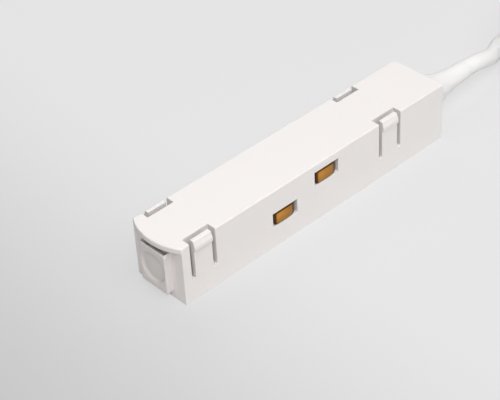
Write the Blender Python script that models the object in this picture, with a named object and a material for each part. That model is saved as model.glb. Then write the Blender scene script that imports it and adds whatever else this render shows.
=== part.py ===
"""Power feed for a low-voltage lighting track, modelled in Blender 4.5.

A white moulded housing clips into the track with four snap tabs. Two sprung brass leaves look out of
windows in its side and touch the track's two conductors. The lead enters at the rear through a boot.

Frame: +X runs from the plugged front end to the lead, the contacts face -Y, and +Z is up, towards the
top of the housing. The origin is under the middle of the housing, on the surface it stands on.
Lengths are in metres, written in millimetres times MM.
"""

import math

import bmesh
import bpy
from mathutils import Vector
from mathutils.geometry import interpolate_bezier

MM = 0.001

# Housing, an open-bottomed box with an arched lip over its front end
BODY_LENGTH = 107.2 * MM
BODY_WIDTH = 20.2 * MM
BODY_HEIGHT = 20.0 * MM
SIDE_WALL = 1.6 * MM
END_WALL = 1.6 * MM
TOP_THICKNESS = 1.75 * MM
LIP_REACH = 2.85 * MM
EDGE_RADIUS = 0.4 * MM

# Clearance between two moulded pieces that seat on each other
SEAT_GAP = 0.3 * MM

# Snap tabs, two a side, cut free by slots and open to the top
CLIP_FRONT_INSET = 7.7 * MM
CLIP_REAR_INSET = 24.2 * MM
CLIP_WIDTH = 6.6 * MM
CLIP_SLOT = 1.4 * MM
CLIP_LENGTH = 12.7 * MM
CLIP_THICKNESS = 1.5 * MM
CLIP_FLEX_ROOM = 1.5 * MM
CLIP_SHROUD = 1.0 * MM
HOOK_REACH = 0.5 * MM
HOOK_CATCH_DROP = 3.2 * MM
HOOK_CREST_DROP = 1.9 * MM

# Contact windows in the -Y wall, their middles set out from the rear face and the top
WINDOW_LENGTH = 9.8 * MM
WINDOW_HEIGHT = 4.75 * MM
UPPER_WINDOW_INSET = 51.3 * MM
WINDOW_PITCH = 17.0 * MM
UPPER_WINDOW_DROP = 5.1 * MM
LOWER_WINDOW_DROP = 10.3 * MM

# Contacts, stamped from brass strip and bent
LEAF_WIDTH = 4.2 * MM
LEAF_THICKNESS = 0.35 * MM
LEAF_CROWN = 0.1 * MM
LEAF_END_GAP = 0.4 * MM
LEAF_HOOK = 1.5 * MM
LEAF_CORNER = 1.0 * MM
TAIL_WIDTH = 2.2 * MM
TAIL_LENGTH = 4.0 * MM
ROOT_OFFSET = 7.3 * MM

# Carrier, the insulator that holds the contacts
CARRIER_WALL = 1.4 * MM
CARRIER_STANDOFF = 2.0 * MM
CARRIER_MARGIN = 7.0 * MM
CARRIER_PAD = 1.8 * MM
CARRIER_SKIRT = 0.8 * MM
LUG_THICKNESS = 1.6 * MM
LUG_LENGTH = 8.0 * MM
LUG_MARGIN = 1.0 * MM
LUG_CORNER = 1.8 * MM
GUSSET_THICKNESS = 1.0 * MM
GUSSET_RISE = 2.4 * MM
ROOT_SLOT_GAP = 0.35 * MM

# Screws, all one size, driven up from below
SCREW_RADIUS = 1.1 * MM
SCREW_HEAD_RADIUS = 2.1 * MM
SCREW_HEAD = 1.4 * MM
SCREW_LENGTH = 7.0 * MM
BOSS_WALL = 1.0 * MM

# Lead, its boot and its clamp
CABLE_RADIUS = 2.8 * MM
BOOT_LENGTH = 22.0 * MM
BOOT_BASE_RADIUS = 6.6 * MM
BOOT_TIP_RADIUS = 3.1 * MM
BOOT_HOLLOW = 1.4
BOOT_NECK_RADIUS = 4.0 * MM
BOOT_FLANGE_RADIUS = 5.4 * MM
BOOT_FLANGE = 1.6 * MM
CLAMP_INSET = 13.5 * MM
CLAMP_LENGTH = 5.0 * MM
CLAMP_THICKNESS = 1.6 * MM
CLAMP_SIDE_GAP = 0.8 * MM
SHEATH_PAST_CLAMP = 3.0 * MM
CORE_RADIUS = 0.85 * MM
CORE_BEND = 2.4 * MM
SLEEVE_WALL = 0.3 * MM
SLEEVE_LENGTH = 5.0 * MM
SADDLE_LENGTH = 3.0 * MM

# Front plug, set in from the housing's sides, its underside and the lip
PLUG_SIDE_MARGIN = 4.7 * MM
PLUG_SILL = 2.45 * MM
PLUG_HEAD_ROOM = 2.0 * MM
PLUG_REACH = 2.5 * MM
PLUG_RIM = 1.2 * MM
PLUG_BARB = 0.7 * MM
PLUG_BARB_LENGTH = 1.2 * MM
DISH_MARGIN = 0.3 * MM
DISH_DEPTH = 0.7 * MM
DISH_SLOPE = 0.9 * MM

# Base cover, let into a rebate round the open bottom
COVER_THICKNESS = 1.5 * MM
COVER_REBATE = 0.7 * MM
SNAP_COUNT = 3
SNAP_LENGTH = 6.0 * MM
SNAP_THICKNESS = 1.0 * MM
SNAP_CATCH_HEIGHT = 4.0 * MM
SNAP_TOP_HEIGHT = 5.4 * MM
SNAP_BARB = 0.55 * MM
SNAP_FRONT_INSET = 24.0 * MM
SNAP_REAR_INSET = 33.5 * MM

# Spare lead, folded into a tied hank behind the feed
HANK_DISTANCE = 66.0 * MM
HANK_Y = -15.1 * MM
HANK_RUN = 57.0 * MM
HANK_FOLD_RADIUS = 16.8 * MM
HANK_TURNS_WIDE = 2
HANK_LAYERS = 3
TIE_THICKNESS = 0.9 * MM
TIE_WIDTH = 4.0 * MM
TIE_INSET = 6.0 * MM
LEAD_END_START = 22.0 * MM
LEAD_END_LENGTH = 10.0 * MM
TAIL_CORE_LENGTH = 20.0 * MM
FERRULE_LENGTH = 8.0 * MM
FERRULE_RADIUS = 0.7 * MM
FERRULE_COLLAR_RADIUS = 1.15 * MM
FERRULE_COLLAR = 2.6 * MM

# Worked out from the sizes above
FRONT = -(BODY_LENGTH - LIP_REACH) / 2
REAR = FRONT + BODY_LENGTH
HALF_WIDTH = BODY_WIDTH / 2
INNER_HALF = HALF_WIDTH - SIDE_WALL
CEILING = BODY_HEIGHT - TOP_THICKNESS
CLIP_XS = (FRONT + CLIP_FRONT_INSET, REAR - CLIP_REAR_INSET)
WINDOW_XS = (REAR - UPPER_WINDOW_INSET - WINDOW_PITCH, REAR - UPPER_WINDOW_INSET)
WINDOW_ZS = (BODY_HEIGHT - LOWER_WINDOW_DROP, BODY_HEIGHT - UPPER_WINDOW_DROP)
CABLE_HEIGHT = BODY_HEIGHT / 2
PLUG_WIDTH = BODY_WIDTH - 2 * PLUG_SIDE_MARGIN
PLUG_HEIGHT = CEILING - PLUG_HEAD_ROOM - PLUG_SILL
PLUG_MIDDLE_HEIGHT = PLUG_SILL + PLUG_HEIGHT / 2
DISH_RADIUS = PLUG_WIDTH / 2 - DISH_MARGIN
DISH_FLOOR_RADIUS = DISH_RADIUS - DISH_SLOPE
SCREW_BORE = SCREW_RADIUS + SEAT_GAP
BOSS_RADIUS = SCREW_BORE + BOSS_WALL
SLEEVE_BORE = math.hypot(TAIL_WIDTH / 2, LEAF_THICKNESS / 2) + SEAT_GAP
SLEEVE_RADIUS = SLEEVE_BORE + SLEEVE_WALL
LUG_HEIGHT = COVER_THICKNESS + SEAT_GAP + SCREW_HEAD + SEAT_GAP
CARRIER_START = WINDOW_XS[0] - CARRIER_MARGIN
CARRIER_FACE = -(INNER_HALF - CARRIER_STANDOFF)
CARRIER_BACK = CARRIER_FACE + CARRIER_WALL
CARRIER_SCREW_Y = CARRIER_BACK + SEAT_GAP + BOSS_RADIUS
CARRIER_SCREW_XS = (
    CARRIER_START + LUG_MARGIN + LUG_LENGTH / 2,
    WINDOW_XS[1] + ROOT_OFFSET + SLEEVE_RADIUS + SEAT_GAP + BOSS_RADIUS,
)
CARRIER_END = CARRIER_SCREW_XS[1] + LUG_LENGTH / 2 + LUG_MARGIN
CLAMP_X = REAR - CLAMP_INSET
CLAMP_HALF = INNER_HALF - CLAMP_SIDE_GAP
CLAMP_SCREW_Y = CLAMP_HALF - SCREW_HEAD_RADIUS
BOOT_FLANGE_START = REAR - END_WALL - SEAT_GAP - BOOT_FLANGE
SHEATH_END = CLAMP_X - CLAMP_LENGTH / 2 - SHEATH_PAST_CLAMP
LEAD_EXIT = REAR + BOOT_LENGTH
HANK_X = REAR + HANK_DISTANCE
HANK_LIFT = TIE_THICKNESS + SEAT_GAP
HANK_OUTER = HANK_FOLD_RADIUS + (2 * HANK_TURNS_WIDE - 1) * CABLE_RADIUS
HANK_INNER = HANK_FOLD_RADIUS - CABLE_RADIUS
HANK_TOP = HANK_LIFT + HANK_LAYERS * 2 * CABLE_RADIUS
HANK_SIDE_Y = (HANK_OUTER + HANK_INNER) / 2

# How far a cutter runs past the surface that it opens
PAST = 1.0 * MM


def clear_scene():
    for each in list(bpy.data.objects):
        bpy.data.objects.remove(each)


def finish(name, colour, roughness, metallic=0.0):
    """A Principled material with one colour, roughness and metallic value."""
    made = bpy.data.materials.new(name)
    made.use_nodes = True
    shader = made.node_tree.nodes["Principled BSDF"]
    shader.inputs["Base Color"].default_value = (*colour, 1.0)
    shader.inputs["Roughness"].default_value = roughness
    shader.inputs["Metallic"].default_value = metallic
    made.diffuse_color = (*colour, 1.0)
    return made


def place(name, data, material, at=(0, 0, 0), parent=None):
    """Links one object with its material, and parents it to the feed's empty."""
    made = bpy.data.objects.new(name, data)
    data.materials.append(material)
    bpy.context.scene.collection.objects.link(made)
    made.location = at
    made.parent = parent
    return made


def mesh_of(name, shape, smooth_angle=None):
    """Turns a bmesh into a mesh whose faces point out."""
    bmesh.ops.recalc_face_normals(shape, faces=shape.faces)
    data = bpy.data.meshes.new(name)
    shape.to_mesh(data)
    shape.free()
    if smooth_angle is not None:
        data.shade_smooth()
        data.set_sharp_from_angle(angle=math.radians(smooth_angle))
    return data


def prism(outline, along, low, high):
    """Extrudes a closed outline along X, Y or Z. Its two numbers are the other two axes, in that order."""
    shape = bmesh.new()
    corner = {
        "X": lambda a, b: (low, a, b),
        "Y": lambda a, b: (a, low, b),
        "Z": lambda a, b: (a, b, low),
    }[along]
    face = shape.faces.new([shape.verts.new(corner(a, b)) for a, b in outline])
    step = Vector({"X": (1, 0, 0), "Y": (0, 1, 0), "Z": (0, 0, 1)}[along]) * (high - low)
    extruded = bmesh.ops.extrude_face_region(shape, geom=[face])
    moved = [v for v in extruded["geom"] if isinstance(v, bmesh.types.BMVert)]
    bmesh.ops.translate(shape, vec=step, verts=moved)
    return shape


def rectangle(low_a, high_a, low_b, high_b):
    return [(low_a, low_b), (high_a, low_b), (high_a, high_b), (low_a, high_b)]


def arc(centre, radius, start, end, steps):
    """Points on an arc, its angles in degrees, both ends included."""
    turns = [math.radians(start + (end - start) * i / steps) for i in range(steps + 1)]
    return [(centre[0] + radius * math.cos(t), centre[1] + radius * math.sin(t)) for t in turns]


def rounded_rectangle(low_a, high_a, low_b, high_b, radius, steps=3):
    """A rectangle with round corners, counter-clockwise."""
    return (
        arc((high_a - radius, low_b + radius), radius, -90, 0, steps)
        + arc((high_a - radius, high_b - radius), radius, 0, 90, steps)
        + arc((low_a + radius, high_b - radius), radius, 90, 180, steps)
        + arc((low_a + radius, low_b + radius), radius, 180, 270, steps)
    )


def stadium(start, end, middle, radius, steps=16):
    """Two parallel runs joined by half circles, from start to end along the first axis."""
    return arc((end, middle), radius, -90, 90, steps) + arc((start, middle), radius, 90, 270, steps)


def turned(profile, axis, steps=32):
    """Spins a profile of (distance along the axis, radius) points into a closed solid on its own axis."""
    shape = bmesh.new()
    unit = Vector({"X": (1, 0, 0), "Y": (0, 1, 0), "Z": (0, 0, 1)}[axis])
    side = Vector({"X": (0, 1, 0), "Y": (1, 0, 0), "Z": (1, 0, 0)}[axis])
    points = [shape.verts.new(unit * along + side * radius) for along, radius in profile]
    edges = [shape.edges.new(pair) for pair in zip(points, points[1:])]
    bmesh.ops.spin(
        shape,
        geom=points + edges,
        cent=(0, 0, 0),
        axis=unit,
        angle=math.tau,
        steps=steps,
        use_merge=True,
    )
    bmesh.ops.remove_doubles(shape, verts=shape.verts, dist=0.001 * MM)
    return shape


def shaft(radius, low, high, axis, at, steps=24):
    """A plain cylinder from low to high along an axis through the point at."""
    shape = turned([(low, 0), (low, radius), (high, radius), (high, 0)], axis, steps)
    bmesh.ops.translate(shape, vec=at, verts=shape.verts)
    return shape


def loft(rings):
    """Skins a run of closed rings that have equally many points, and caps both ends."""
    shape = bmesh.new()
    skins = [[shape.verts.new(point) for point in ring] for ring in rings]
    for near, far in zip(skins, skins[1:]):
        for i in range(len(near)):
            j = (i + 1) % len(near)
            shape.faces.new((near[i], near[j], far[j], far[i]))
    shape.faces.new(skins[0])
    shape.faces.new(skins[-1])
    return shape


def together(shapes):
    """Puts shapes that stand apart into one bmesh."""
    whole = bmesh.new()
    for shape in shapes:
        step = bpy.data.meshes.new("step")
        bmesh.ops.recalc_face_normals(shape, faces=shape.faces)
        shape.to_mesh(step)
        shape.free()
        whole.from_mesh(step)
        bpy.data.meshes.remove(step)
    return whole


def boolean(target, operation, shapes, label, parent):
    """Cuts shapes out of the target, or adds them to it, with a guide object that isn't rendered."""
    guide = bpy.data.objects.new(label, mesh_of(label, together(shapes)))
    bpy.context.scene.collection.objects.link(guide)
    guide.hide_render = True
    guide.display_type = "WIRE"
    guide.parent = parent
    change = target.modifiers.new(label, "BOOLEAN")
    change.operation = operation
    change.object = guide
    change.solver = "EXACT"


def wire(name, points, radius, material, parent, resolution=3):
    """A round tube along a smooth curve through the points, with closed ends."""
    curve = bpy.data.curves.new(name, "CURVE")
    curve.dimensions = "3D"
    line = curve.splines.new("POLY")
    line.points.add(len(points) - 1)
    for point, place_at in zip(line.points, points):
        point.co = (*place_at, 1.0)
    curve.bevel_depth = radius
    curve.bevel_resolution = resolution
    curve.use_fill_caps = True
    return place(name, curve, material, parent=parent)


def smooth_line(points, spacing):
    """Reads evenly spaced points from one smooth curve through the given ones."""
    given = [Vector(p) for p in points]
    ends = [given[0] * 2 - given[1], *given, given[-1] * 2 - given[-2]]
    fine = [given[0]]
    for before, start, end, after in zip(ends, ends[1:], ends[2:], ends[3:]):
        pull = (end - start).length / 3
        leave = start + (end - before).normalized() * pull
        arrive = end - (after - start).normalized() * pull
        fine += interpolate_bezier(start, leave, arrive, end, 24)[1:]
    length = sum((b - a).length for a, b in zip(fine, fine[1:]))
    count = max(3, round(length / spacing))
    line, walked = [fine[0]], 0.0
    for a, b in zip(fine, fine[1:]):
        step = (b - a).length
        while len(line) < count and walked + step >= length * len(line) / count:
            line.append(a.lerp(b, (length * len(line) / count - walked) / step))
        walked += step
    return line + [fine[-1]]


clear_scene()
feed = bpy.data.objects.new("feed", None)
bpy.context.scene.collection.objects.link(feed)

white_plastic = finish("white_plastic", (0.90, 0.895, 0.885), 0.45)
plug_plastic = finish("plug_plastic", (0.88, 0.875, 0.865), 0.5)
carrier_plastic = finish("carrier_plastic", (0.72, 0.72, 0.71), 0.5)
brass = finish("brass", (0.75, 0.48, 0.20), 0.3, 1.0)
steel = finish("steel", (0.62, 0.62, 0.64), 0.35, 1.0)
white_pvc = finish("white_pvc", (0.90, 0.90, 0.89), 0.5)
red_pvc = finish("red_pvc", (0.70, 0.05, 0.04), 0.45)
black_pvc = finish("black_pvc", (0.03, 0.03, 0.03), 0.45)
tin = finish("tin", (0.75, 0.75, 0.76), 0.3, 1.0)
tie_nylon = finish("tie_nylon", (0.86, 0.86, 0.84), 0.5)

# Housing: one moulding, its plan a rectangle with the arched lip, hollowed from below
lip_radius = (HALF_WIDTH**2 + LIP_REACH**2) / (2 * LIP_REACH)
lip_angle = math.degrees(math.asin(HALF_WIDTH / lip_radius))
lip_centre = (FRONT - LIP_REACH + lip_radius, 0)
plan = [(REAR, -HALF_WIDTH), (REAR, HALF_WIDTH)]
plan += arc(lip_centre, lip_radius, 180 - lip_angle, 180 + lip_angle, 20)
block = prism(plan, "Z", 0, BODY_HEIGHT)
rounded = [
    e
    for e in block.edges
    if all(abs(v.co.z - BODY_HEIGHT) < 0.01 * MM for v in e.verts)
    or all(abs(v.co.x - REAR) < 0.01 * MM for v in e.verts)
]
bmesh.ops.bevel(block, geom=rounded, offset=EDGE_RADIUS, segments=3, profile=0.5, affect="EDGES")
housing = place("housing", mesh_of("housing", block), white_plastic, parent=feed)

under_lip = prism(
    rectangle(FRONT - LIP_REACH - PAST, FRONT, -HALF_WIDTH - PAST, HALF_WIDTH + PAST), "Z", -PAST, CEILING
)
boolean(housing, "DIFFERENCE", [under_lip], "under_lip", feed)
cavity = prism(
    rectangle(FRONT + END_WALL, REAR - END_WALL, -INNER_HALF, INNER_HALF), "Z", -PAST, CEILING
)
boolean(housing, "DIFFERENCE", [cavity], "cavity", feed)
rebate = prism(
    rectangle(
        FRONT + END_WALL - COVER_REBATE,
        REAR - END_WALL + COVER_REBATE,
        -INNER_HALF - COVER_REBATE,
        INNER_HALF + COVER_REBATE,
    ),
    "Z",
    -PAST,
    COVER_THICKNESS + SEAT_GAP,
)
boolean(housing, "DIFFERENCE", [rebate], "cover_rebate", feed)

# Bosses that the four screws bite into, hanging from the top, and the saddle over the lead
carrier_boss_end = LUG_HEIGHT + LUG_THICKNESS + SEAT_GAP
clamp_top = CABLE_HEIGHT - CABLE_RADIUS - SEAT_GAP
clamp_boss_end = clamp_top + SEAT_GAP
boss_root = CEILING + TOP_THICKNESS / 2
boss_spots = [(x, CARRIER_SCREW_Y, carrier_boss_end) for x in CARRIER_SCREW_XS]
boss_spots += [(CLAMP_X, side * CLAMP_SCREW_Y, clamp_boss_end) for side in (-1, 1)]
bosses = []
for x, y, end in boss_spots:
    boss_profile = [
        (boss_root, 0),
        (boss_root, BOSS_RADIUS),
        (end, BOSS_RADIUS),
        (end, SCREW_BORE),
        (CEILING - SEAT_GAP, SCREW_BORE),
        (CEILING - SEAT_GAP, 0),
    ]
    boss = turned(boss_profile, "Z", 24)
    bmesh.ops.translate(boss, vec=(x, y, 0), verts=boss.verts)
    bosses.append(boss)
saddle_half = CLAMP_SCREW_Y - SCREW_BORE - BOSS_WALL / 2
saddle_low = CABLE_HEIGHT + CABLE_RADIUS + SEAT_GAP
saddle = prism(
    rectangle(-saddle_half, saddle_half, saddle_low, boss_root),
    "X",
    CLAMP_X - SADDLE_LENGTH / 2,
    CLAMP_X + SADDLE_LENGTH / 2,
)

# Snap tabs: hooks on the side walls, then a channel round three sides cuts each tab free. A shroud
# inside closes the room that the tab bends into, so nothing reaches the contacts that way.
hook_root = HALF_WIDTH - CLIP_THICKNESS / 2
hook_outline = [
    (hook_root, BODY_HEIGHT - HOOK_CATCH_DROP),
    (HALF_WIDTH + HOOK_REACH, BODY_HEIGHT - HOOK_CATCH_DROP),
    (HALF_WIDTH + HOOK_REACH, BODY_HEIGHT - HOOK_CREST_DROP),
    (HALF_WIDTH, BODY_HEIGHT - 1.5 * EDGE_RADIUS),
    (hook_root, BODY_HEIGHT - 1.5 * EDGE_RADIUS),
]
tab_half = CLIP_WIDTH / 2
slot_half = tab_half + CLIP_SLOT
tab_inner = HALF_WIDTH - CLIP_THICKNESS
channel_inner = tab_inner - CLIP_FLEX_ROOM
channel_outer = HALF_WIDTH + HOOK_REACH + PAST
channel_foot = BODY_HEIGHT - CLIP_LENGTH
hooks, shrouds, channels = [], [], []
for clip_x in CLIP_XS:
    for side in (-1, 1):
        outline = [(side * y, z) for y, z in hook_outline]
        hook_half = tab_half + CLIP_SLOT / 2
        hooks.append(prism(outline, "X", clip_x - hook_half, clip_x + hook_half))
        shroud_inner, shroud_outer = sorted(
            (side * (channel_inner - CLIP_SHROUD), side * (INNER_HALF + SIDE_WALL / 3))
        )
        shroud_near = clip_x - slot_half - CLIP_SHROUD
        if shroud_near < FRONT + END_WALL + CLIP_SHROUD:
            shroud_near = FRONT + END_WALL / 2
        shroud_far = clip_x + slot_half + CLIP_SHROUD
        shrouds.append(
            prism(
                rectangle(shroud_near, shroud_far, shroud_inner, shroud_outer),
                "Z",
                channel_foot - CLIP_SHROUD,
                boss_root,
            )
        )
        channel_plan = [
            (-slot_half, channel_outer),
            (-slot_half, channel_inner),
            (slot_half, channel_inner),
            (slot_half, channel_outer),
            (tab_half, channel_outer),
            (tab_half, tab_inner),
            (-tab_half, tab_inner),
            (-tab_half, channel_outer),
        ]
        channel = prism(
            [(clip_x + x, side * y) for x, y in channel_plan], "Z", channel_foot, BODY_HEIGHT + PAST
        )
        foot_edges = [
            e
            for e in channel.edges
            if all(abs(v.co.z - channel_foot) < 0.01 * MM for v in e.verts)
            and abs(e.verts[0].co.x - e.verts[1].co.x) < 0.01 * MM
        ]
        bmesh.ops.bevel(
            channel, geom=foot_edges, offset=0.42 * CLIP_SLOT, segments=4, profile=0.5, affect="EDGES"
        )
        channels.append(channel)
boolean(housing, "UNION", bosses + hooks + shrouds, "bosses_hooks_shrouds", feed)
boolean(housing, "UNION", [saddle], "saddle", feed)

# Openings: two contact windows, the plug's hole in front, and the boot's U-shaped slot at the rear
plug_hole_width = PLUG_WIDTH - 2 * PLUG_RIM
plug_hole_height = PLUG_HEIGHT - 2 * PLUG_RIM
neck_slot_radius = BOOT_NECK_RADIUS + SEAT_GAP
openings = [
    prism(
        rectangle(
            x - WINDOW_LENGTH / 2, x + WINDOW_LENGTH / 2, z - WINDOW_HEIGHT / 2, z + WINDOW_HEIGHT / 2
        ),
        "Y",
        -HALF_WIDTH - PAST,
        -INNER_HALF + PAST / 2,
    )
    for x, z in zip(WINDOW_XS, WINDOW_ZS)
]
openings.append(
    prism(
        rectangle(
            -plug_hole_width / 2,
            plug_hole_width / 2,
            PLUG_MIDDLE_HEIGHT - plug_hole_height / 2,
            PLUG_MIDDLE_HEIGHT + plug_hole_height / 2,
        ),
        "X",
        FRONT - PAST,
        FRONT + END_WALL + PAST,
    )
)
neck_slot = arc((0, CABLE_HEIGHT), neck_slot_radius, 0, 180, 20)
neck_slot += [(-neck_slot_radius, -PAST), (neck_slot_radius, -PAST)]
openings.append(prism(neck_slot, "X", REAR - END_WALL - PAST, REAR + PAST))

# Pockets inside the side walls that the cover's snap barbs catch in
snap_first, snap_last = FRONT + SNAP_FRONT_INSET, REAR - SNAP_REAR_INSET
snap_xs = [
    snap_first + (snap_last - snap_first) * i / (SNAP_COUNT - 1) for i in range(SNAP_COUNT)
]
pocket_depth = SNAP_BARB + SEAT_GAP
snap_gap_outer = INNER_HALF - SEAT_GAP
pockets = []
for x in snap_xs:
    for side in (-1, 1):
        pocket_low, pocket_high = sorted(
            (side * (INNER_HALF - PAST), side * (snap_gap_outer + pocket_depth))
        )
        pockets.append(
            prism(
                rectangle(
                    x - SNAP_LENGTH / 2 - SEAT_GAP, x + SNAP_LENGTH / 2 + SEAT_GAP, pocket_low, pocket_high
                ),
                "Z",
                SNAP_CATCH_HEIGHT - SEAT_GAP,
                SNAP_TOP_HEIGHT + SEAT_GAP,
            )
        )
boolean(housing, "DIFFERENCE", channels + openings + pockets, "openings", feed)

# Base cover: a plate with snap tabs along both sides and a tongue that closes the slot below the neck
cover_half = INNER_HALF + COVER_REBATE - SEAT_GAP
cover_inset = END_WALL - COVER_REBATE + SEAT_GAP
cover_outline = rounded_rectangle(
    FRONT + cover_inset, REAR - cover_inset, -cover_half, cover_half, EDGE_RADIUS
)
cover_plate = prism(cover_outline, "Z", 0, COVER_THICKNESS)
base_cover = place("base_cover", mesh_of("base_cover", cover_plate), white_plastic, parent=feed)
snaps = []
for x in snap_xs:
    for side in (-1, 1):
        outer, inner = snap_gap_outer, snap_gap_outer - SNAP_THICKNESS
        snap_outline = [
            (side * inner, COVER_THICKNESS / 2),
            (side * outer, COVER_THICKNESS / 2),
            (side * outer, SNAP_CATCH_HEIGHT),
            (side * (outer + SNAP_BARB), SNAP_CATCH_HEIGHT),
            (side * (outer + SNAP_BARB / 3), SNAP_TOP_HEIGHT),
            (side * inner, SNAP_TOP_HEIGHT),
        ]
        snaps.append(prism(snap_outline, "X", x - SNAP_LENGTH / 2, x + SNAP_LENGTH / 2))
boolean(base_cover, "UNION", snaps, "cover_snaps", feed)
tongue_half = BOOT_NECK_RADIUS - SEAT_GAP
tongue = prism(
    rectangle(-tongue_half, tongue_half, COVER_THICKNESS / 2, CABLE_HEIGHT - BOOT_NECK_RADIUS / 2),
    "X",
    REAR - END_WALL + SEAT_GAP,
    REAR,
)
boolean(base_cover, "UNION", [tongue], "cover_tongue", feed)
neck_room = shaft(
    BOOT_NECK_RADIUS + SEAT_GAP, REAR - END_WALL - PAST, REAR + PAST, "X", (0, 0, CABLE_HEIGHT)
)
boolean(base_cover, "DIFFERENCE", [neck_room], "cover_neck", feed)

# End plug: soft square plug with a shallow dish, its groove gripping the front wall
plug_stations = [
    (-PLUG_REACH, PLUG_WIDTH / 2 - EDGE_RADIUS / 2, PLUG_HEIGHT / 2 - EDGE_RADIUS / 2),
    (EDGE_RADIUS / 2 - PLUG_REACH, PLUG_WIDTH / 2, PLUG_HEIGHT / 2),
    (-SEAT_GAP, PLUG_WIDTH / 2, PLUG_HEIGHT / 2),
    (-SEAT_GAP, plug_hole_width / 2 - SEAT_GAP, plug_hole_height / 2 - SEAT_GAP),
    (END_WALL + SEAT_GAP, plug_hole_width / 2 - SEAT_GAP, plug_hole_height / 2 - SEAT_GAP),
    (END_WALL + SEAT_GAP, plug_hole_width / 2 + PLUG_BARB, plug_hole_height / 2 + PLUG_BARB),
    (END_WALL + SEAT_GAP + PLUG_BARB_LENGTH, plug_hole_width / 2, plug_hole_height / 2),
]
plug_rings = [
    [
        (x, y, z)
        for y, z in rounded_rectangle(-half_width, half_width, -half_height, half_height, EDGE_RADIUS)
    ]
    for x, half_width, half_height in plug_stations
]
plug_at = (FRONT, 0, PLUG_MIDDLE_HEIGHT)
end_plug = place("end_plug", mesh_of("end_plug", loft(plug_rings)), plug_plastic, plug_at, feed)
dish = turned(
    [
        (-PLUG_REACH - DISH_DEPTH, 0),
        (-PLUG_REACH - DISH_DEPTH, 2 * DISH_RADIUS - DISH_FLOOR_RADIUS),
        (-PLUG_REACH + DISH_DEPTH, DISH_FLOOR_RADIUS),
        (-PLUG_REACH + DISH_DEPTH, 0),
    ],
    "X",
    40,
)
bmesh.ops.translate(dish, vec=plug_at, verts=dish.verts)
boolean(end_plug, "DIFFERENCE", [dish], "plug_dish", feed)

# Boot: turned on the lead's axis, a flange inside the rear wall, a neck through it and a hollow-sided cone
boot_profile = [
    (BOOT_FLANGE_START - REAR, 0),
    (BOOT_FLANGE_START - REAR, BOOT_FLANGE_RADIUS),
    (BOOT_FLANGE_START + BOOT_FLANGE - REAR, BOOT_FLANGE_RADIUS),
    (BOOT_FLANGE_START + BOOT_FLANGE - REAR, BOOT_NECK_RADIUS),
    (SEAT_GAP, BOOT_NECK_RADIUS),
]
cone_steps = 14
for step in range(cone_steps + 1):
    share = step / cone_steps
    boot_profile.append(
        (
            SEAT_GAP + share * (BOOT_LENGTH - SEAT_GAP),
            BOOT_TIP_RADIUS + (BOOT_BASE_RADIUS - BOOT_TIP_RADIUS) * (1 - share) ** BOOT_HOLLOW,
        )
    )
boot_profile.append((BOOT_LENGTH, 0))
boot_at = (REAR, 0, CABLE_HEIGHT)
boot_mesh = mesh_of("cable_boot", turned(boot_profile, "X", 40), smooth_angle=30)
place("cable_boot", boot_mesh, white_pvc, boot_at, feed)

# Contacts: brass strip, hooked in at its front end, crowned in the window and run back to its root.
# Each one's origin is where the root passes the carrier's wall, which is where the leaf flexes.
root_y = CARRIER_FACE + CARRIER_WALL / 2
half_window = WINDOW_LENGTH / 2
leaf_stations = [
    (LEAF_END_GAP - half_window, LEAF_HOOK),
    (LEAF_END_GAP - half_window + LEAF_THICKNESS / 4, LEAF_HOOK / 2),
    (LEAF_END_GAP - half_window + LEAF_THICKNESS * 1.6, LEAF_THICKNESS / 4),
    (-0.15 * WINDOW_LENGTH, -LEAF_CROWN),
    (0.2 * WINDOW_LENGTH, LEAF_CROWN / 2),
    (0.36 * WINDOW_LENGTH, 0.55 * SIDE_WALL),
    (half_window, SIDE_WALL + 0.6 * SEAT_GAP),
    (half_window + 4 * LEAF_THICKNESS, SIDE_WALL + 2.5 * SEAT_GAP),
    (ROOT_OFFSET - LEAF_THICKNESS / 2, SIDE_WALL + CARRIER_STANDOFF - SEAT_GAP),
    (ROOT_OFFSET, SIDE_WALL + CARRIER_STANDOFF + CARRIER_WALL / 2),
    (ROOT_OFFSET, SIDE_WALL + CARRIER_STANDOFF + CARRIER_WALL),
    (ROOT_OFFSET, SIDE_WALL + CARRIER_STANDOFF + CARRIER_WALL + TAIL_LENGTH),
]
leaf_line = smooth_line(
    [(along - ROOT_OFFSET, depth - HALF_WIDTH - root_y, 0) for along, depth in leaf_stations],
    1.4 * LEAF_THICKNESS,
)


def leaf_width(walked, point):
    """Full width in the window, round corners at the hooked end, and a narrow root through the carrier."""
    neck_start = CARRIER_FACE - root_y - 2.5 * SEAT_GAP
    neck_end = CARRIER_FACE - root_y - SEAT_GAP
    if point.y > neck_end and point.x > -ROOT_OFFSET / 2:
        return TAIL_WIDTH
    if point.y > neck_start and point.x > -ROOT_OFFSET / 2:
        share = (point.y - neck_start) / (neck_end - neck_start)
        return LEAF_WIDTH + (TAIL_WIDTH - LEAF_WIDTH) * share
    left = max(0.0, 1 - walked / LEAF_CORNER)
    return LEAF_WIDTH - 2 * LEAF_CORNER * (1 - math.sqrt(1 - left**2)) * 0.8


def strip(line, thickness):
    """A flat strip standing on edge along a line in the XY plane, which is its outer face."""
    rings, walked = [], 0.0
    for i, point in enumerate(line):
        before, after = line[max(i - 1, 0)], line[min(i + 1, len(line) - 1)]
        forward = (after - before).normalized()
        inward = Vector((-forward.y, forward.x, 0)) * thickness
        if i:
            walked += (point - line[i - 1]).length
        up = Vector((0, 0, leaf_width(walked, point) / 2))
        rings.append([point - up, point + up, point + inward + up, point + inward - up])
    return loft(rings)


for name, x, z in zip(("lower_contact", "upper_contact"), WINDOW_XS, WINDOW_ZS):
    leaf = mesh_of(name, strip(leaf_line, LEAF_THICKNESS), smooth_angle=40)
    place(name, leaf, brass, (x + ROOT_OFFSET, root_y, z), feed)

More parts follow.
